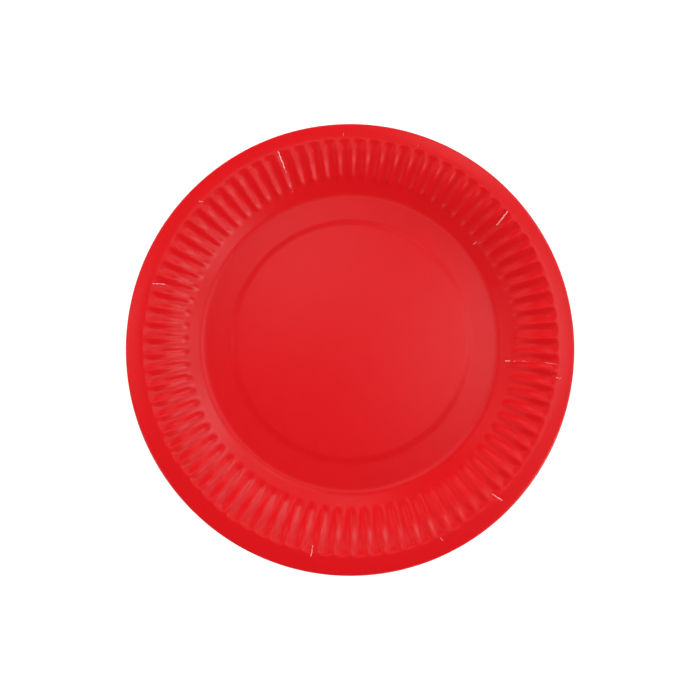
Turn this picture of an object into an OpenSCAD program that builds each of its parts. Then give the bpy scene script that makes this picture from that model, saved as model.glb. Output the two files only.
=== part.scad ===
// Round pressed paper plate with a fluted wall.
// One sheet of coated board: raised centre panel, base ring, sloping wall and a flat lip.
// The origin is the centre of the round rim, at the level of the surface the plate stands on.

/* [Blank] */
// Diameter of the round sheet the plate is pressed from, which is the plate's width
blank_d = 230; // [200:1:270]
// Thickness of the board
sheet_t = 0.4; // [0.3:0.05:0.6]

/* [Pressing] */
// How far the pressed form sits off the blank's centre, to the right
shift_x = 0.5; // [-1.5:0.1:1.5]
// How far the pressed form sits off the blank's centre, to the back
shift_y = 0.4; // [-2:0.1:2]

/* [Lip] */
// Width of the lip, from the blank's edge in to the corner where the wall meets it
lip_w = 14; // [11:0.5:17]
// Inside radius of the bend between wall and lip
lip_bend = 20; // [12:1:24]
// Fall of the lip towards its edge, in degrees
lip_fall = 3; // [1:0.5:6]

/* [Wall] */
// Width of the fluted part of the wall, seen from above
flute_run = 15; // [12:0.5:18]
// Width of the plain part of the wall below the flutes, seen from above
plain_run = 6; // [4:0.5:9]
// Slope of the plain wall and of the flutes' floors at their lower end, in degrees
wall_slope = 36; // [28:0.5:40]
// Inside radius of the soft bend at the foot of the wall
foot_bend = 6; // [4:0.5:10]

/* [Flutes] */
// Number of flutes round the wall
flutes = 80; // [60:1:90]
// Height of the ribs above the line of the plain wall, at the lip's corner
rib_h = 1.3; // [0.8:0.1:1.6]
// Length of a rib's nose, over which the rib climbs out of the plain wall
nose_run = 3; // [2:0.5:5]
// Share of the ribs' height that is reached at the end of the nose
nose_share = 0.8; // [0.5:0.05:0.9]
// Width of a rib's crest at its nose
nose_w = 0.3; // [0.2:0.1:0.6]
// Width of a rib's crest at the lip
crest_w = 0.8; // [0.4:0.1:1.4]
// Width of each flank of a rib at its nose
nose_flank_w = 0.4; // [0.3:0.1:0.8]
// Width of each flank of a rib at the lip
flank_w = 1.5; // [1:0.1:1.8]
// How far the rounded end of a flute runs into the lip, past the corner
tip_run = 5.6; // [4:0.2:7]
// Length of the rounded end, over which the flute's floor climbs to the lip
cap_run = 2.6; // [2:0.1:3.4]
// Depth of the flute's floor below the ribs, where the rounded end begins
cap_h = 1.5; // [0.9:0.1:1.8]
// Slope of the flute's floor where the rounded end begins, in degrees
cap_slope = 14; // [8:0.5:18]
// Inside radius of the long bend of the flutes' floors
floor_bend = 40; // [25:1:50]

/* [Base] */
// Width of the flat ring the plate stands on, from the corner at the wall's foot to the step
ring_w = 15; // [11:0.5:18]
// Width of the sloping step between ring and panel
step_run = 2.2; // [1.6:0.1:2.6]
// Height of the centre panel above the ring
panel_rise = 0.6; // [0.4:0.1:1.5]
// Inside radius of the two bends of the step
step_bend = 1.2; // [0.5:0.1:2]

/* [Hidden] */

// Radii of the section's corners, from the blank's edge inwards
lip_r = blank_d / 2 - lip_w;
tip_r = lip_r + tip_run;
flute_r = lip_r - flute_run;
foot_r = flute_r - plain_run;
panel_r = foot_r - ring_w - step_run;
// The lip is worked out past the blank's edge, where the blank then ends it
reach_r = blank_d / 2 + norm([shift_x, shift_y]) + 1;

// The ribs climb out of the plain wall over their nose, up to the shoulder
shoulder_r = flute_r + nose_run;
nose_bend = 4;

pitch = 360 / flutes;
rib_z = rib_h / cos(wall_slope);
lip_z = wall_z(lip_r) + rib_z;

// Height of the underside of the plain wall
function wall_z(r) = (r - foot_r) * tan(wall_slope);

// The underside through a rib as sharp corners: radius, height, bend radius, steps
rib_corners = [
    [0, panel_rise, 0, 0],
    [panel_r, panel_rise, step_bend, 1],
    [panel_r + step_run, 0, step_bend, 1],
    [foot_r, 0, foot_bend, 2],
    [flute_r, wall_z(flute_r), nose_bend, 2],
    [shoulder_r, wall_z(shoulder_r) + nose_share * rib_z, nose_bend, 2],
    [lip_r, lip_z, lip_bend, 6],
    [reach_r, lip_z - (reach_r - lip_r) * tan(lip_fall), 0, 0]
];
FOOT = 3;
LIP = 6;

function along(a) = [cos(a), sin(a)];
function upward(a) = [-sin(a), cos(a)];
function heading(corners, i) =
    atan2(corners[i + 1][1] - corners[i][1], corners[i + 1][0] - corners[i][0]);

// Corner i of a section as stations on its bend: radius, height, slope
function bend(corners, i) =
    let (
        from = heading(corners, i - 1),
        turn = heading(corners, i) - from,
        side = sign(turn),
        // The bend radius is the one on the inside of the sheet
        r = corners[i][2] + (side > 0 ? sheet_t : 0),
        start = [corners[i][0], corners[i][1]] - r * tan(abs(turn) / 2) * along(from),
        centre = start + side * r * upward(from)
    )
    [for (k = [0:corners[i][3]])
        let (
            a = from + turn * k / corners[i][3],
            p = centre - side * r * upward(a)
        )
        [p[0], p[1], a]];

// A section as two lists to look up at any radius: height and slope of the underside
function line_of(stations) = [
    [for (s = stations) [s[0], s[1]]],
    [for (s = stations) [s[0], s[2]]]
];
rib_line = line_of(concat(
    [[0, panel_rise, 0]],
    [for (i = [1:LIP]) each bend(rib_corners, i)],
    [[reach_r, rib_corners[LIP + 1][1], -lip_fall]]
));

// The floor of a flute leaves the wall's line in one long bend and meets its rounded end at cap_z
cap_r = tip_r - cap_run;
cap_z = lookup(cap_r, rib_line[0]) - cap_h;
floor_r = (cap_z - cap_r * tan(cap_slope) + foot_r * tan(wall_slope)) / (tan(wall_slope) - tan(cap_slope));
floor_corners = [
    [foot_r, 0, 0, 0],
    [floor_r, wall_z(floor_r), floor_bend, 6],
    [cap_r, cap_z, 0, 0]
];
tip_z = lookup(tip_r, rib_line[0]);
cap_climb = atan2(tip_z - cap_z, cap_run);
floor_line = line_of(concat(
    [[foot_r, 0, wall_slope]],
    bend(floor_corners, 1),
    [[cap_r, cap_z, (cap_slope + cap_climb) / 2], [tip_r, tip_z, cap_climb / 2]]
));

// Point of the sheet on one of these lines: lift is measured square to the sheet
function sheet_point(line, r, angle, lift) =
    let (
        slope = lookup(r, line[1]),
        flat_r = r - lift * sin(slope)
    )
    [
        shift_x + flat_r * cos(angle),
        shift_y + flat_r * sin(angle),
        lookup(r, line[0]) + lift * cos(slope)
    ];

// Ring of the base and the plain wall, with a point below each rib
function plain_ring(r, lift) =
    [for (i = [0:flutes - 1]) sheet_point(rib_line, r, i * pitch, lift)];

// Stations of a flute: radius, and the share of its full width that the floor keeps there
lip_bend_r = bend(rib_corners, LIP)[0][0];
flute_stations = [
    [flute_r, 1],
    [shoulder_r, 1],
    [lip_bend_r, 1],
    [(2 * lip_bend_r + cap_r) / 3, 1],
    [(lip_bend_r + 2 * cap_r) / 3, 1],
    [cap_r, 0.75],
    [tip_r, 0.3]
];

// Widths on an arc of radius r, as half angles in degrees
function half_angle(width, r) = width / r * 90 / PI;

// Ring of the fluted wall: two points on the crest of each rib and two on the floor of each flute
function fluted_ring(station, lift) =
    let (
        r = station[0],
        way = (r - flute_r) / (cap_r - flute_r),
        crest_at = nose_w + (crest_w - nose_w) * way,
        flank_at = nose_flank_w + (flank_w - nose_flank_w) * way,
        floor = station[1] * (pitch / 2 - half_angle(crest_at + 2 * flank_at, r)),
        crest = pitch / 2 - floor - half_angle(2 * flank_at, r)
    )
    [for (i = [0:flutes - 1]) each [
        sheet_point(rib_line, r, i * pitch - crest, lift),
        sheet_point(rib_line, r, i * pitch + crest, lift),
        sheet_point(floor_line, r, (i + 0.5) * pitch - floor, lift),
        sheet_point(floor_line, r, (i + 0.5) * pitch + floor, lift)
    ]];

// The blank's edge, cut square, with a point at each rib and each flute
function edge_radius(angle) =
    let (toward = shift_x * cos(angle) + shift_y * sin(angle))
    sqrt(pow(toward, 2) - pow(norm([shift_x, shift_y]), 2) + pow(blank_d / 2, 2)) - toward;
function edge_ring(lift) =
    [for (i = [0:2 * flutes - 1])
        let (
            angle = i * pitch / 2,
            r = edge_radius(angle)
        )
        [
            shift_x + r * cos(angle),
            shift_y + r * sin(angle),
            lookup(r, rib_line[0]) + lift / cos(lip_fall)
        ]];

// All rings of one face of the sheet, from the panel's edge to the blank's edge
plain_radii = [for (i = [1:FOOT]) each [for (s = bend(rib_corners, i)) s[0]]];
function face_rings(lift) = concat(
    [for (r = plain_radii) plain_ring(r, lift)],
    [for (s = flute_stations) fluted_ring(s, lift)],
    [edge_ring(lift)]
);

// Where each ring starts in the list of points, which opens with the middle of the panel
function starts(rings, k = 0, at = 1) =
    k == len(rings) ? [at] : concat([at], starts(rings, k + 1, at + len(rings[k])));

// Triangles between two rings: the one with fewer points fans out to the other
function band(a, n_a, b, n_b) =
    n_a > n_b
    ? [for (t = band(b, n_b, a, n_a)) [t[0], t[2], t[1]]]
    : let (
        m = n_b / n_a,
        half = ceil(m / 2)
    )
    [for (i = [0:n_a - 1])
        let (
            here = a + i,
            next = a + (i + 1) % n_a
        )
        each concat(
            [for (k = [0:m - 1])
                [k < half ? here : next, b + (m * i + k + 1) % n_b, b + (m * i + k) % n_b]],
            [[here, next, b + (m * i + half) % n_b]]
        )];

// Triangles of one face, whose points start at first with the middle of the panel
function face_triangles(rings, first) =
    let (at = starts(rings))
    concat(
        [for (i = [0:len(rings[0]) - 1])
            [first, first + at[0] + (i + 1) % len(rings[0]), first + at[0] + i]],
        [for (k = [0:len(rings) - 2])
            each band(first + at[k], len(rings[k]), first + at[k + 1], len(rings[k + 1]))]
    );

// The pressed sheet: its printed face, its underside and the cut edge between them
module plate() {
    top = face_rings(sheet_t);
    under = face_rings(0);
    top_points = concat([[shift_x, shift_y, panel_rise + sheet_t]], [for (r = top) each r]);
    under_points = concat([[shift_x, shift_y, panel_rise]], [for (r = under) each r]);
    under_first = len(top_points);
    edge_n = 2 * flutes;
    top_edge = len(top_points) - edge_n;
    under_edge = under_first + len(under_points) - edge_n;
    color([0.87, 0.14, 0.16])
        polyhedron(
            points = concat(top_points, under_points),
            faces = concat(
                face_triangles(top, 0),
                [for (t = face_triangles(under, under_first)) [t[0], t[2], t[1]]],
                band(top_edge, edge_n, under_edge, edge_n)
            ),
            convexity = 10
        );
}

plate();
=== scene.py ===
# %% [markdown]
# The paper plate
#
# The object is one round blank of board, red and varnished on one face and bare on the other. A
# heated press turns it into a plate in one stroke. The imported CAD model is loaded first: it is the
# frame that says how large the plate is and where it stands.

import bpy
import numpy as np
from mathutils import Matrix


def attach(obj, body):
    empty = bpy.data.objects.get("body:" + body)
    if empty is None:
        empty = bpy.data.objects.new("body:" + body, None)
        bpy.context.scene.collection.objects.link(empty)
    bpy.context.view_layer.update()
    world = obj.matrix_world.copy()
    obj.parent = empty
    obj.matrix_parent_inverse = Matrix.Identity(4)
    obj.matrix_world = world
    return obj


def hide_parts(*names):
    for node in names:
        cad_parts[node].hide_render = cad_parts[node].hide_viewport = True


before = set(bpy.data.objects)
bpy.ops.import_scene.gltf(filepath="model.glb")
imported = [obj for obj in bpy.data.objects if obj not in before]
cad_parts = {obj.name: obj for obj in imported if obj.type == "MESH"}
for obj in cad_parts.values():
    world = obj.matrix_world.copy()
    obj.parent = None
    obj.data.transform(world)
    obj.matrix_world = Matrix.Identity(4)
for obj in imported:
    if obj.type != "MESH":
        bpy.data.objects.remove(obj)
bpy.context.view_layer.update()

# %% [markdown]
# Sizes
#
# A plate of this kind is known by its section, which is the cut from the middle to the edge. These
# are the sizes of the CAD model, in millimetres, with the same names. All radii run from the edge
# of the blank inwards, in the way that a toolmaker would dimension the press. The sheen on the real
# plate shows that its ribs and its step are softer than crisp CAD edges, so a few sizes differ: the
# flanks are wider, the flutes have FLUTE_SHARE of their full depth, and the step is wider and lower.

# %% Sizes of the plate
MM = 0.001
BLANK_D = 230.0
SHEET_T = 0.4
SHIFT = np.array([0.5, 0.4])
LIP_W = 14.0
LIP_BEND = 20.0
LIP_FALL = np.radians(3.0)
FLUTE_RUN = 15.0
PLAIN_RUN = 6.0
WALL_SLOPE = np.radians(36.0)
FOOT_BEND = 6.0
FLUTES = 80
RIB_H = 1.3
NOSE_RUN = 3.0
NOSE_SHARE = 0.8
NOSE_BEND = 4.0
TIP_RUN = 5.6
CAP_RUN = 2.6
CAP_H = 1.5
CAP_SLOPE = np.radians(14.0)
FLOOR_BEND = 40.0
RING_W = 14.5
STEP_RUN = 3.2
PANEL_RISE = 0.5
STEP_BEND = 6.0

LIP_R = BLANK_D / 2 - LIP_W
TIP_R = LIP_R + TIP_RUN
CAP_R = TIP_R - CAP_RUN
FLUTE_R = LIP_R - FLUTE_RUN
SHOULDER_R = FLUTE_R + NOSE_RUN
FOOT_R = FLUTE_R - PLAIN_RUN
PANEL_R = FOOT_R - RING_W - STEP_RUN
REACH_R = BLANK_D / 2 + np.hypot(*SHIFT) + 1
PITCH = 2 * np.pi / FLUTES
print("radii in mm: panel", PANEL_R, "foot", FOOT_R, "flutes", FLUTE_R, "to", TIP_R, "lip", LIP_R)

# %% [markdown]
# The section as a curve
#
# A pressed section is a chain of straight runs joined by bends. It could be drawn by hand as a
# Bezier curve, but a list of sharp corners with a bend radius for each says more, and it can be
# checked against the CAD model. Each bend is an arc that touches both runs beside its corner.


# %% Sharp corners to a smooth section
def bent_section(corners, steps=14):
    """Section as arrays of radius and height.

    corners holds radius, height and bend radius. At a corner where the heading turns by an angle
    t, the arc of radius b starts b * tan(t / 2) before the corner, and its centre lies b to the
    side that the section turns to. The arc is walked in equal steps of heading.
    """
    points = np.array([[c[0], c[1]] for c in corners])
    runs = np.diff(points, axis=0)
    headings = np.arctan2(runs[:, 1], runs[:, 0])
    pieces = [points[:1]]
    for i in range(1, len(corners) - 1):
        turn = headings[i] - headings[i - 1]
        side = np.sign(turn)
        bend = corners[i][2] + (SHEET_T if side > 0 else 0.0)
        ahead = np.array([np.cos(headings[i - 1]), np.sin(headings[i - 1])])
        across = np.array([-ahead[1], ahead[0]])
        start = points[i] - bend * np.tan(abs(turn) / 2) * ahead
        centre = start + side * bend * across
        walk = headings[i - 1] + turn * np.linspace(0, 1, steps)
        arc = centre - side * bend * np.column_stack([-np.sin(walk), np.cos(walk)])
        pieces.append(arc)
    pieces.append(points[-1:])
    return np.vstack(pieces)


def wall_z(radius):
    """Height of the plain wall's underside: it climbs at WALL_SLOPE from the foot."""
    return (radius - FOOT_R) * np.tan(WALL_SLOPE)


RIB_Z = RIB_H / np.cos(WALL_SLOPE)
# The lip of the CAD model is made of flat facets, whose edge lines lie a little below the arc
FACET_SAG = 0.04
LIP_Z = wall_z(LIP_R) + RIB_Z - FACET_SAG
base = [
    (0.0, PANEL_RISE, 0.0),
    (PANEL_R, PANEL_RISE, STEP_BEND),
    (PANEL_R + STEP_RUN, 0.0, STEP_BEND),
    (FOOT_R, 0.0, FOOT_BEND),
]
over_ribs = bent_section(base + [
    (FLUTE_R, wall_z(FLUTE_R), NOSE_BEND),
    (SHOULDER_R, wall_z(SHOULDER_R) + NOSE_SHARE * RIB_Z, NOSE_BEND),
    (LIP_R, LIP_Z, LIP_BEND),
    (REACH_R, LIP_Z - (REACH_R - LIP_R) * np.tan(LIP_FALL), 0.0),
])
cap_z = np.interp(CAP_R, *over_ribs.T) - CAP_H
wall_rise = np.tan(WALL_SLOPE)
cap_rise = np.tan(CAP_SLOPE)
FLOOR_R = (cap_z - CAP_R * cap_rise + FOOT_R * wall_rise) / (wall_rise - cap_rise)
over_floors = bent_section(base + [
    (FLOOR_R, wall_z(FLOOR_R), FLOOR_BEND),
    (REACH_R, cap_z + (REACH_R - CAP_R) * cap_rise, 0.0),
])
print("lip height in mm:", round(LIP_Z, 2), "stations:", len(over_ribs), "and", len(over_floors))

# %% [markdown]
# Rings and columns
#
# The sheet is a grid: rings at chosen radii, crossed by columns at equal angles. Rings lie close
# together where the section bends and at the rounded ends of the flutes, and far apart where it is
# straight. The blank was a little off centre when it was pressed, so the lip is wider on one side,
# and the outer rings share out what is left between the flutes and the edge.

# %% Where the rings and columns lie
COLUMNS = 12 * FLUTES
FACET_TRIM = 0.002
LIP_START = 108.0
LIP_SHARES = np.array([0.0, 0.3, 0.6, 0.85, 1.0])
angles = (np.arange(COLUMNS) / COLUMNS) * 2 * np.pi

# Each row is a span of rings: first radius, last radius and how many rings
FACE_SPANS = (
    (24.0, 48.0, 2),
    (PANEL_R - 2, PANEL_R + STEP_RUN + 2, 13),
    (FOOT_R - 8, FOOT_R - 5, 2),
    (FOOT_R - 3, FOOT_R + 3, 9),
    (FLUTE_R - 1.5, FLUTE_R - 1.5, 1),
    (FLUTE_R - 0.6, SHOULDER_R + 0.6, 9),
    (SHOULDER_R + 2, CAP_R - 1, 9),
    (CAP_R - 0.2, TIP_R + 0.4, 12),
    (LIP_START - 0.3, LIP_START - 0.3, 1),
)
UNDER_SPANS = (
    (32.0, 32.0, 1),
    (PANEL_R - 2, PANEL_R + STEP_RUN + 2, 7),
    (FOOT_R - 5, FOOT_R - 5, 1),
    (FOOT_R - 3, FOOT_R + 3, 5),
    (FLUTE_R - 0.6, SHOULDER_R + 0.6, 6),
    (SHOULDER_R + 3, CAP_R - 1, 5),
    (CAP_R - 0.2, TIP_R + 0.4, 8),
)


def edge_radius(angle):
    """Distance from the form's centre to the blank's edge: where the line at this angle leaves
    the blank's circle, whose centre lies SHIFT away. The CAD model's circle has flat facets, so
    FACET_TRIM comes off to stay inside it."""
    toward = SHIFT[0] * np.cos(angle) + SHIFT[1] * np.sin(angle)
    return np.sqrt(toward**2 - SHIFT @ SHIFT + (BLANK_D / 2 - FACET_TRIM) ** 2) - toward


def ring_radii(spans):
    """Radii of all rings as a grid of rings by columns: equal steps in each span, then the lip's
    rings, which share out the way from LIP_START to the edge."""
    fixed = np.concatenate([np.linspace(*span) for span in spans])
    lip = LIP_START + LIP_SHARES[:, None] * (edge_radius(angles)[None, :] - LIP_START)
    return np.vstack([np.repeat(fixed[:, None], COLUMNS, axis=1), lip])


top_r = ring_radii(FACE_SPANS)
under_r = ring_radii(UNDER_SPANS)
print("rings on the face:", len(top_r), "under it:", len(under_r), "columns:", COLUMNS)

# %% [markdown]
# Flutes
#
# When a flat round blank becomes a dish, its edge has too much board for its new circumference, and
# the press gathers it. Broad channels are left between narrow ribs: a rib is a sharp crease at the
# foot of the wall and widens to a tongue of the lip, and each channel ends there in a round cap.
# Each channel could be cut with a Boolean or sculpted. As one formula of radius and angle, all 80
# follow the same few sizes: the depth comes from the distance to the middle of the nearest rib or
# to the cap's end. Each channel gets its own small error of place, width, length and depth, because
# a press squeezes board into the tool and does not cut it.

# %% Errors from flute to flute
# Spreads in mm of a flute's place, its flanks' width and its length, and as a share of its depth
PLACE_SPREAD = 0.09
FLANK_SPREAD = 0.07
LENGTH_SPREAD = 0.16
DEPTH_SPREAD = 0.06
FLUTE_SHARE = 0.8
SEED = 80

rng = np.random.default_rng(SEED)
flute_place = rng.normal(0.0, PLACE_SPREAD, FLUTES)
flank_error = rng.normal(0.0, FLANK_SPREAD, FLUTES)
flute_long = rng.normal(0.0, LENGTH_SPREAD, FLUTES)
flute_deep = FLUTE_SHARE * (1.0 + rng.normal(0.0, DEPTH_SPREAD, FLUTES))
print("depth of the flutes, as a share:", round(flute_deep.min(), 2), "to", round(flute_deep.max(), 2))

# %% Depth of the flutes
NOSE_FLANK_W = 3.0
FLANK_W = 3.7
CAP_ROUND = 3.0
CREST_POWER = 1.4


def flute_depth(radius):
    """Depth of the sheet below the ribs, on a grid of rings by columns.

    side is the way to the middle of the rib and ahead the way to the end of the flute. The way in
    from the outline is the smaller of both, with the corners rounded at CAP_ROUND, c for short:
    c - hypot(c - side, c - ahead). Over the width w of the flank the share of the full depth is
    sin(90 deg * way / w) to the power CREST_POWER, which is steep near the crest and level at the
    floor. The full depth is the height between the line over the ribs and the line over the
    floors.
    """
    index = np.floor(angles / PITCH).astype(int) % FLUTES
    middle = (np.floor(angles / PITCH) + 0.5) * PITCH
    off_line = radius * (angles - middle)[None, :] - flute_place[index]
    side = radius * PITCH / 2 - np.abs(off_line)
    ahead = TIP_R + flute_long[index][None, :] - radius
    corner = CAP_ROUND - np.hypot(np.maximum(CAP_ROUND - side, 0.0), np.maximum(CAP_ROUND - ahead, 0.0))
    inside = np.where((side > CAP_ROUND) | (ahead > CAP_ROUND), np.minimum(side, ahead), corner)
    inside = np.maximum(inside, 0.0)
    along = np.clip((radius - FLUTE_R) / (CAP_R - FLUTE_R), 0.0, 1.0)
    flank = NOSE_FLANK_W + (FLANK_W - NOSE_FLANK_W) * along + flank_error[index][None, :]
    flank = flank + (CAP_RUN - flank) * np.clip(1 - ahead / CAP_ROUND, 0.0, 1.0)
    share = np.sin(np.pi / 2 * np.clip(inside / flank, 0.0, 1.0)) ** CREST_POWER
    full = np.interp(radius, *over_ribs.T) - np.interp(radius, *over_floors.T)
    return np.maximum(full, 0.0) * share * flute_deep[index][None, :]


print("deepest flute in mm:", round(float(flute_depth(top_r).max()), 2))

# %% [markdown]
# Cracks in the print
#
# Board that is folded too tightly cracks along the fold, and the white of the board shows through
# the ink as a thin, jagged and broken line. The places are written down by flute number, counted
# round from +X. Each vertex learns how far it lies across and along its nearest crack, and the
# material later draws the line from that, so that it can be much finer than the mesh.

# %% Where the cracks lie
# Flute at the outer end and at the inner end, outer and inner radius, half width of the line, how
# broken it is, and depth of the dent along it
CRACKS = np.array([
    [8.62, 8.32, 106.2, 97.6, 0.15, 0.0, 0.10],
    [8.29, 8.28, 86.3, 84.2, 0.16, 0.3, 0.00],
    [15.66, 15.72, 110.6, 107.4, 0.13, 0.5, 0.10],
    [20.42, 20.47, 109.8, 107.8, 0.28, 0.1, 0.05],
    [24.78, 24.80, 106.6, 97.0, 0.32, 0.5, 0.30],
    [24.80, 24.88, 97.0, 86.0, 0.17, 0.6, 0.15],
    [30.70, 30.55, 107.8, 105.6, 0.16, 0.4, 0.05],
    [36.60, 36.44, 106.8, 101.0, 0.26, 0.5, 0.25],
    [57.66, 57.70, 108.0, 103.2, 0.20, 0.4, 0.10],
    [65.44, 65.38, 108.6, 106.8, 0.16, 0.4, 0.05],
    [69.60, 69.40, 109.6, 104.2, 0.21, 0.35, 0.25],
    [77.62, 77.56, 108.6, 106.2, 0.16, 0.4, 0.05],
    [78.37, 78.40, 106.2, 100.2, 0.17, 0.4, 0.05],
    [78.38, 78.22, 96.0, 87.0, 0.17, 0.55, 0.00],
    [78.20, 78.17, 85.6, 83.2, 0.17, 0.2, 0.00],
])
CRACK_REACH = 3.0


def crack_ends(flute, radius):
    """Points of one end of each crack: out by the radius along the angle of the flute number."""
    return radius[:, None] * np.column_stack([np.cos(flute * PITCH), np.sin(flute * PITCH)])


crack_outer = crack_ends(CRACKS[:, 0], CRACKS[:, 2])
crack_inner = crack_ends(CRACKS[:, 1], CRACKS[:, 3])


def nearest_crack(radius):
    """Five grids for the nearest crack of each point: distance across it, way in from its nearer
    end, half width, breaks and dent.

    With u the unit vector along the crack from a point p on it, the way along is (q - p) . u and
    the distance across is the cross product (q - p) x u.
    """
    spot = np.stack([radius * np.cos(angles), radius * np.sin(angles)], axis=-1)
    along_axis = crack_outer - crack_inner
    length = np.linalg.norm(along_axis, axis=1)
    unit = along_axis / length[:, None]
    best = np.full(radius.shape, np.inf)
    found = [np.zeros(radius.shape) for _ in range(5)]
    for k in range(len(CRACKS)):
        way = spot - crack_inner[k]
        along = way @ unit[k]
        across = way[..., 0] * unit[k, 1] - way[..., 1] * unit[k, 0]
        inward = np.minimum(along, length[k] - along)
        distance = np.hypot(across, np.minimum(inward, 0.0))
        near = distance < best
        best = np.where(near, distance, best)
        values = (across, inward, *CRACKS[k, 4:7])
        found = [np.where(near, value, old) for value, old in zip(values, found)]
    return found


cracks_top = nearest_crack(top_r)
print("cracks:", len(CRACKS))

# %% [markdown]
# From heights to a sheet with two faces
#
# The underside comes from the heights. The printed face lies one board thickness above it, measured
# square to the sheet. A Solidify modifier would do the same, but here the two faces have different
# ring counts and different materials, so both are worked out, and a cut edge joins them. The lip of
# the real plate rolls down a little towards its edge, and the board is dented along its cracks.

# %% Points of both faces
LIP_DROOP = 0.4
DROOP_RUN = 8.0
DENT_HALF_W = 0.7
DENT_FADE = 1.5
CUT_SHARES = (0.25, 0.75)


def under_points(radius):
    """Underside at each ring and column: out by the radius along the angle, up by the section's
    height less the flute's depth and the lip's droop, which grows with the square of the way from
    TIP_R and is LIP_DROOP after DROOP_RUN."""
    droop = LIP_DROOP * (np.maximum(radius - TIP_R, 0.0) / DROOP_RUN) ** 2
    height = np.interp(radius, *over_ribs.T) - flute_depth(radius) - droop
    return np.stack([radius * np.cos(angles), radius * np.sin(angles), height], axis=-1)


def square_to(points):
    """Unit direction square to a grid of points: the cross product of the step along the column
    and the step along the ring."""
    outward = np.gradient(points, axis=0)
    around = np.roll(points, -1, axis=1) - np.roll(points, 1, axis=1)
    normal = np.cross(outward, around)
    return normal / np.linalg.norm(normal, axis=-1, keepdims=True)


face_base = under_points(top_r)
face = face_base + SHEET_T * square_to(face_base)
across, inward, _, _, dent = cracks_top
# A dent fades like a bell curve across the crack, and over DENT_FADE at its ends
face[..., 2] -= dent * np.exp(-(across / DENT_HALF_W) ** 2) * np.clip(inward / DENT_FADE + 0.5, 0.0, 1.0)
underside = under_points(under_r)
edge_top = face[-1]
edge_low = underside[-1]
edge_top[:, :2] = edge_low[:, :2]
cut_edge = np.stack([edge_top + (edge_low - edge_top) * share for share in CUT_SHARES])
rings = np.concatenate([face, cut_edge, underside[::-1]])
rings[..., :2] += SHIFT
print("rings in all:", len(rings), "quads:", (len(rings) - 1) * COLUMNS)

# %% [markdown]
# The mesh
#
# A Screw modifier would turn one section into a dish, but the flutes make each section a little
# different, so the mesh is built from the grid. All rings form one strip that starts round the
# middle of the printed face, runs out over the edge and comes back under it. Two fans of triangles
# close it in the middle, above and below.


# %% Build the closed shell
def closed_strip(name, rings, pole_first, pole_last):
    """Mesh of a stack of rings: quad k of ring i joins points k and k + 1 of rings i and i + 1,
    and each pole fans out to its ring."""
    n_rings, n_columns, _ = rings.shape
    verts = np.vstack([rings.reshape(-1, 3), pole_first, pole_last]) * MM
    ring = np.arange(n_rings - 1)[:, None] * n_columns
    here = np.arange(n_columns)[None, :]
    ahead = (here + 1) % n_columns
    quads = np.stack(
        [ring + here, ring + n_columns + here, ring + n_columns + ahead, ring + ahead], axis=-1
    ).reshape(-1, 4)
    first = n_rings * n_columns
    last_ring = (n_rings - 1) * n_columns
    fan_a = np.stack([np.full(n_columns, first), here[0], ahead[0]], axis=-1)
    fan_b = np.stack([np.full(n_columns, first + 1), last_ring + ahead[0], last_ring + here[0]], axis=-1)
    corners = np.concatenate([quads.ravel(), fan_a.ravel(), fan_b.ravel()])
    sizes = np.concatenate([np.full(len(quads), 4), np.full(2 * n_columns, 3)])
    mesh = bpy.data.meshes.new(name)
    mesh.vertices.add(len(verts))
    mesh.vertices.foreach_set("co", verts.ravel())
    mesh.loops.add(len(corners))
    mesh.loops.foreach_set("vertex_index", corners.astype(np.int32))
    mesh.polygons.add(len(sizes))
    mesh.polygons.foreach_set("loop_start", np.concatenate([[0], np.cumsum(sizes)[:-1]]).astype(np.int32))
    mesh.update(calc_edges=True)
    mesh.polygons.foreach_set("use_smooth", np.ones(len(sizes), dtype=bool))
    mesh.validate()
    return mesh


pole_face = np.array([[*SHIFT, PANEL_RISE + SHEET_T]])
pole_under = np.array([[*SHIFT, PANEL_RISE]])
plate_mesh = closed_strip("pressed_plate", rings, pole_face, pole_under)
plate = bpy.data.objects.new("pressed_plate", plate_mesh)
bpy.context.collection.objects.link(plate)
print("faces:", len(plate_mesh.polygons))

# %% [markdown]
# What the vertices know of the cracks
#
# The material can't look up the list of cracks, so the mesh carries four values at each vertex: the
# distance across the nearest crack, the way in from its end, its half width and how broken it is.
# Vertices of the underside and the edge count as far from every crack.

# %% Crack distances on the mesh
CRACK_LAYERS = (
    ("across", CRACK_REACH),
    ("inward", -CRACK_REACH),
    ("width", 0.0),
    ("breaks", 0.0),
)
point_count = len(plate_mesh.vertices)
for (name, beyond), values in zip(CRACK_LAYERS, cracks_top):
    per_point = np.full(point_count, beyond, dtype=np.float32)
    per_point[:values.size] = np.clip(values, -CRACK_REACH, CRACK_REACH).ravel()
    layer = plate_mesh.attributes.new("crack_" + name, "FLOAT", "POINT")
    layer.data.foreach_set("value", per_point)
print("vertices:", point_count, "layers:", ["crack_" + name for name, _ in CRACK_LAYERS])

# %% [markdown]
# Helpers for materials
#
# Colours are written as sRGB hex values, as a designer would read them off a swatch, and turned to
# the linear values that Blender renders with. One small function adds a node and makes its links.


# %% Colours and nodes
def linear(code):
    """Linear RGBA of an sRGB hex code: each channel c becomes ((c + 0.055) / 1.055)^2.4, or
    c / 12.92 where it is under 0.04045."""
    c = np.array([int(code[i:i + 2], 16) for i in (1, 3, 5)]) / 255
    value = np.where(c <= 0.04045, c / 12.92, ((c + 0.055) / 1.055) ** 2.4)
    return (*value.tolist(), 1.0)


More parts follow.
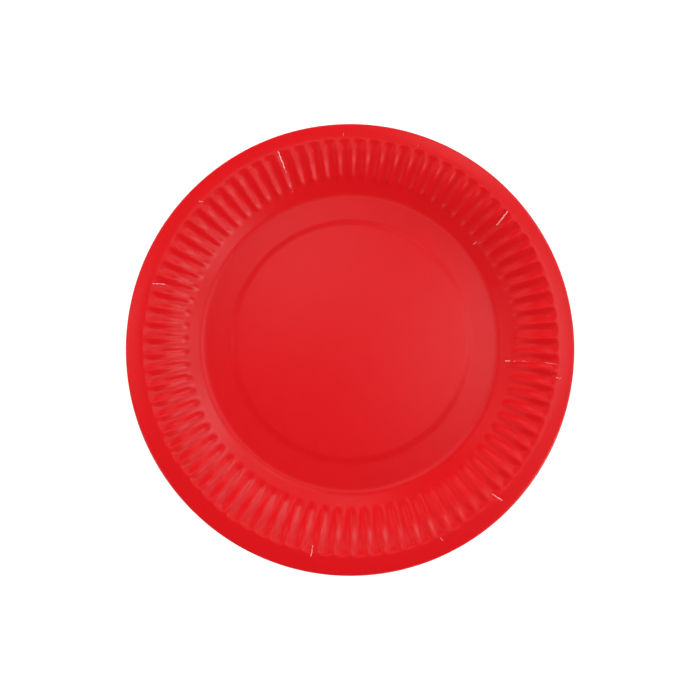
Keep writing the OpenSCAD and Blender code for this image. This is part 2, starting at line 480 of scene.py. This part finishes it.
def add_node(tree, kind, settings=None, inputs=None):
    """New node of a tree: settings are its own properties, inputs are values or sockets by name."""
    node = tree.nodes.new(kind)
    for key, value in (settings or {}).items():
        setattr(node, key, value)
    for key, value in (inputs or {}).items():
        if isinstance(value, bpy.types.NodeSocket):
            tree.links.new(value, node.inputs[key])
        else:
            node.inputs[key].default_value = value
    return node


def new_material(name):
    """Material without nodes, and its tree."""
    material = bpy.data.materials.new(name)
    material.use_nodes = True
    material.node_tree.nodes.clear()
    return material, material.node_tree


print("mid grey as a linear value:", round(linear("#808080")[0], 3))

# %% [markdown]
# Red varnished board
#
# The printed face is solid bleached board under a red ink and a water based varnish. It gives the
# eye an even, strong red, a soft sheen that is broken up by the fibres below the ink, and no sharp
# reflection. The ink lies in blotches about 11 mm across, hardly lighter and darker. The fibres are
# drawn 1.1 mm across with finer ones down to 0.14 mm, which is coarser than the real ones, so that
# they show. A picture of board could be wrapped round the plate, but noise in the object's own
# coordinates needs no file and has no seam.

# %% Ink and varnish
# Patterns to the metre: blotches of 11 mm, and fibres of 1.1 mm that stand 0.04 mm high
INK_BLOTCHES = 90.0
COATED_FIBRES = 900.0
COATED_RELIEF = 0.00004

red_board, tree = new_material("red_varnished_board")
place = add_node(tree, "ShaderNodeTexCoord").outputs["Object"]
mottle = add_node(tree, "ShaderNodeTexNoise", None, {"Vector": place, "Scale": INK_BLOTCHES, "Detail": 4.0})
ink = add_node(
    tree, "ShaderNodeMix", {"data_type": "RGBA"},
    {"Factor": mottle.outputs["Fac"], "A": linear("#D60711"), "B": linear("#DE0711")},
)
fibres = add_node(tree, "ShaderNodeTexNoise", None, {"Vector": place, "Scale": COATED_FIBRES, "Detail": 3.0})
relief = add_node(
    tree, "ShaderNodeBump", None,
    {"Height": fibres.outputs["Fac"], "Strength": 0.35, "Distance": COATED_RELIEF},
)
varnished = add_node(
    tree, "ShaderNodeBsdfPrincipled", None,
    {"Base Color": ink.outputs["Result"], "Roughness": 0.3, "IOR": 1.5, "Specular IOR Level": 0.34,
     "Normal": relief.outputs["Normal"]},
)
print("blotches in mm:", round(1 / MM / INK_BLOTCHES, 1), "fibres in mm:", round(1 / MM / COATED_FIBRES, 1))

# %% [markdown]
# Torn ink
#
# Where the ink has cracked, the pulp of the board shows: pale, matt and a little pink from the ink
# round it. Noise moves the crack's line from side to side, with jags of 1.4 mm and finer ones, and
# takes bites of 0.9 mm out of its width. Its ends taper. What is left of the half width, less the
# distance from the line, is positive inside the crack, and a steep ramp turns it to white.

# %% The line of each crack
# Patterns to the metre, and what they do in mm: how far the line wanders, how much of the width a
# bite takes, how fast the ends taper, and how steep the line's edge is
JAGS = 700.0
BITES = 1100.0
WANDER = 1.3
BITE_SIZE = 0.62
END_TAPER = 0.3
EDGE_RAMP = 8.0

crack_values = {
    name: add_node(tree, "ShaderNodeAttribute", {"attribute_name": "crack_" + name}).outputs["Fac"]
    for name, _ in CRACK_LAYERS
}
for name, scale, detail in (("jag", JAGS, 3.0), ("bite", BITES, 1.0)):
    noise = add_node(tree, "ShaderNodeTexNoise", None, {"Vector": place, "Scale": scale, "Detail": detail})
    crack_values[name] = noise.outputs["Fac"]
# Each row is a new value, what makes it, and the two values or numbers that it is made from
for name, operation, first, second in (
    ("jag to one side", "SUBTRACT", "jag", 0.5),
    ("wander", "MULTIPLY", "jag to one side", WANDER),
    ("wandered line", "ADD", "across", "wander"),
    ("off the line", "ABSOLUTE", "wandered line", 0.0),
    ("bite size", "MULTIPLY", "bite", BITE_SIZE),
    ("bitten off", "MULTIPLY", "breaks", "bite size"),
    ("left over", "SUBTRACT", "width", "bitten off"),
    ("taper", "MULTIPLY", "inward", END_TAPER),
    ("half width", "MINIMUM", "left over", "taper"),
    ("way inside", "SUBTRACT", "half width", "off the line"),
    ("steep", "MULTIPLY", "way inside", EDGE_RAMP),
    ("torn", "ADD", "steep", 0.5),
):
    sources = {0: crack_values.get(first, first), 1: crack_values.get(second, second)}
    crack_values[name] = add_node(tree, "ShaderNodeMath", {"operation": operation}, sources).outputs[0]
torn = add_node(tree, "ShaderNodeClamp", None, {"Value": crack_values["torn"]}).outputs["Result"]
pulp = add_node(
    tree, "ShaderNodeBsdfPrincipled", None,
    {"Base Color": linear("#F2DEDA"), "Roughness": 0.85, "Specular IOR Level": 0.3},
)
whole = add_node(
    tree, "ShaderNodeMixShader", None,
    {"Fac": torn, 1: varnished.outputs["BSDF"], 2: pulp.outputs["BSDF"]},
)
add_node(tree, "ShaderNodeOutputMaterial", None, {"Surface": whole.outputs["Shader"]})
print("material:", red_board.name, "nodes:", len(tree.nodes))

# %% [markdown]
# Bare white board
#
# The underside and the cut edge are the board itself: matt, warm white and finely fibrous. Its
# colour clouds softly about every 4 mm, and the same noise goes down to 0.1 mm for the fibres. It
# has neither ink nor varnish, so one rough shader is enough.

# %% Material of the underside and the cut edge
BOARD_CLOUDS = 260.0
BARE_RELIEF = 0.00006

white_board, tree = new_material("bare_white_board")
place = add_node(tree, "ShaderNodeTexCoord").outputs["Object"]
cloud = add_node(tree, "ShaderNodeTexNoise", None, {"Vector": place, "Scale": BOARD_CLOUDS, "Detail": 5.0})
fibre_colour = add_node(
    tree, "ShaderNodeMix", {"data_type": "RGBA"},
    {"Factor": cloud.outputs["Fac"], "A": linear("#EDEAE2"), "B": linear("#F6F4EF")},
)
relief = add_node(
    tree, "ShaderNodeBump", None,
    {"Height": cloud.outputs["Fac"], "Strength": 0.4, "Distance": BARE_RELIEF},
)
bare = add_node(
    tree, "ShaderNodeBsdfPrincipled", None,
    {"Base Color": fibre_colour.outputs["Result"], "Roughness": 0.85, "IOR": 1.5,
     "Normal": relief.outputs["Normal"]},
)
add_node(tree, "ShaderNodeOutputMaterial", None, {"Surface": bare.outputs["BSDF"]})
print("material:", white_board.name, "nodes:", len(tree.nodes))

# %% [markdown]
# Two finishes on one sheet
#
# Only one side of the blank is printed, before it is cut out, so the cut edge is as bare as the
# underside. The mesh runs from the printed face to the edge and the underside, so the first quads
# and the first fan of triangles are red, and all the rest is white.

# %% Which face has which finish
RED = 0
WHITE = 1
plate_mesh.materials.append(red_board)
plate_mesh.materials.append(white_board)
face_quads = (len(face) - 1) * COLUMNS
all_quads = (len(rings) - 1) * COLUMNS
finish = np.full(len(plate_mesh.polygons), WHITE, dtype=np.int32)
finish[:face_quads] = RED
finish[all_quads:all_quads + COLUMNS] = RED
plate_mesh.polygons.foreach_set("material_index", finish)
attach(plate, "root")
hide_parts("plate")
print("red faces:", int((finish == RED).sum()), "white faces:", int((finish == WHITE).sum()))

# %% [markdown]
# The table
#
# The plate lies on a plain white table, a twentieth of a millimetre above it, so that the two faces
# don't flicker through each other. A curved backdrop would do too, but from above a flat sheet is
# enough. The table's own colour renders a little short of white, and a little glow that only the
# camera sees makes up the rest, so the shadow stays.

# %% Table
TABLE_SIZE = 3.0
TABLE_Z = -0.00005
TABLE_GLOW = 0.3

table_mesh = bpy.data.meshes.new("table_top")
half = TABLE_SIZE / 2
corners = [(-half, -half, TABLE_Z), (half, -half, TABLE_Z), (half, half, TABLE_Z), (-half, half, TABLE_Z)]
table_mesh.from_pydata(corners, [], [(0, 1, 2, 3)])
table = bpy.data.objects.new("table_top", table_mesh)
bpy.context.collection.objects.link(table)
table_white, tree = new_material("white_table")
plain = add_node(tree, "ShaderNodeBsdfDiffuse", None, {"Color": linear("#F4F4F4")})
ray = add_node(tree, "ShaderNodeLightPath")
seen = add_node(
    tree, "ShaderNodeMath", {"operation": "MULTIPLY"}, {0: ray.outputs["Is Camera Ray"], 1: TABLE_GLOW}
)
glow = add_node(tree, "ShaderNodeEmission", None, {"Color": linear("#FFFFFF"), "Strength": seen.outputs[0]})
both = add_node(tree, "ShaderNodeAddShader", None, {0: plain.outputs[0], 1: glow.outputs[0]})
add_node(tree, "ShaderNodeOutputMaterial", None, {"Surface": both.outputs[0]})
table_mesh.materials.append(table_white)
print("table in metres:", TABLE_SIZE)

# %% [markdown]
# Room light
#
# An even light from all round fills the shadows, as the walls of a white room do. A picture of a
# studio could light the plate, but one even colour does the same. The camera sees the room as
# plain white. The varnish doesn't mirror it, because a white mirror image all over the plate would
# turn the red pale, where the real one keeps its depth. So the strength is ROOM_LIGHT for the light
# on matt surfaces, 0 for gloss and 1 for the camera.

# %% World
ROOM_LIGHT = 0.40

world = bpy.data.worlds.new("soft_room")
bpy.context.scene.world = world
world.use_nodes = True
tree = world.node_tree
ray = add_node(tree, "ShaderNodeLightPath")
room = add_node(
    tree, "ShaderNodeMath", {"operation": "MULTIPLY_ADD"},
    {0: ray.outputs["Is Glossy Ray"], 1: -ROOM_LIGHT, 2: ROOM_LIGHT},
)
backdrop = add_node(
    tree, "ShaderNodeMath", {"operation": "MAXIMUM"}, {0: ray.outputs["Is Camera Ray"], 1: room.outputs[0]}
)
background = tree.nodes["Background"]
background.inputs["Color"].default_value = linear("#FFFFFF")
tree.links.new(backdrop.outputs[0], background.inputs["Strength"])
print("strength of the room light:", ROOM_LIGHT)

# %% [markdown]
# Lamps
#
# The sheen of the real plate shows where its lamps stood: bright broad shapes come from the right
# and the back, and hardly any from the front. Soft square lamps in those directions give the varnish
# something to mirror. Four fill lamps only brighten the ink. Their visible_glossy is off, so the
# varnish doesn't mirror them, which sets the brightness of the ink apart from its sheen.

# %% Softboxes round the plate
LAMP_DISTANCE = 1.2
LAMP_SIZE = 0.4
# Name, azimuth from +X and elevation above the table in degrees, watts, and whether gloss shows it
LAMPS = (
    ("back_left_low_fill", 112.0, 12.0, 5.0, False),
    ("left_high_fill", 180.0, 46.0, 3.6, False),
    ("left_low_fill", 180.0, 12.0, 1.0, False),
    ("front_fill", 280.0, 12.0, 2.0, False),
    ("right_low", 330.0, 12.0, 2.6, True),
    ("right_front", 325.0, 33.0, 1.1, True),
    ("right", 0.0, 28.0, 1.1, True),
    ("back_right", 30.0, 28.0, 2.1, True),
    ("back", 90.0, 28.0, 0.7, True),
    ("back_left", 150.0, 28.0, 0.5, True),
    ("left_low", 210.0, 12.0, 0.8, True),
    ("right_high", 5.0, 62.0, 0.9, True),
    ("back_right_high", 60.0, 46.0, 0.9, True),
    ("top_right", 0.0, 75.0, 0.6, True),
    ("top_left", 120.0, 75.0, 0.7, True),
)


def softbox(name, azimuth, elevation, power, in_gloss):
    """Square lamp that faces the middle of the plate from LAMP_DISTANCE: out by cos(elevation)
    along the azimuth and up by sin(elevation), turned so that its face looks back."""
    lamp = bpy.data.lights.new(name, "AREA")
    lamp.size = LAMP_SIZE
    lamp.energy = power
    holder = bpy.data.objects.new(name, lamp)
    a = np.radians(azimuth)
    e = np.radians(elevation)
    spot = np.array([np.cos(e) * np.cos(a), np.cos(e) * np.sin(a), np.sin(e)]) * LAMP_DISTANCE
    holder.location = spot.tolist()
    holder.rotation_euler = (0.0, np.pi / 2 - e, a)
    holder.visible_glossy = in_gloss
    bpy.context.collection.objects.link(holder)


for row in LAMPS:
    softbox(*row)
print("lamps:", len(LAMPS), "seen in the gloss:", sum(row[4] for row in LAMPS))

# %% [markdown]
# The camera
#
# The photograph was taken from straight above the plate with a wide lens that pointed a little
# past it, and was then cut to the plate. So the lens is shifted, and the near side of the plate
# is drawn a little larger.

# %% Camera
CAMERA_TILT = np.radians(7.5)
CAMERA_Y = -0.005
ABOVE_RIM = 0.3
LENS_MM = 29.94
LENS_SHIFT = -0.1117

camera_data = bpy.data.cameras.new("camera")
camera_data.lens = LENS_MM
camera_data.shift_y = LENS_SHIFT
camera_data.sensor_width = 36.0
camera = bpy.data.objects.new("camera", camera_data)
camera.location = (0.0, CAMERA_Y, float(LIP_Z * MM + ABOVE_RIM))
camera.rotation_euler = (float(CAMERA_TILT), 0.0, 0.0)
bpy.context.collection.objects.link(camera)
bpy.context.scene.camera = camera
bpy.context.scene.view_settings.view_transform = "Standard"
print("camera height in metres:", round(camera.location.z, 4))
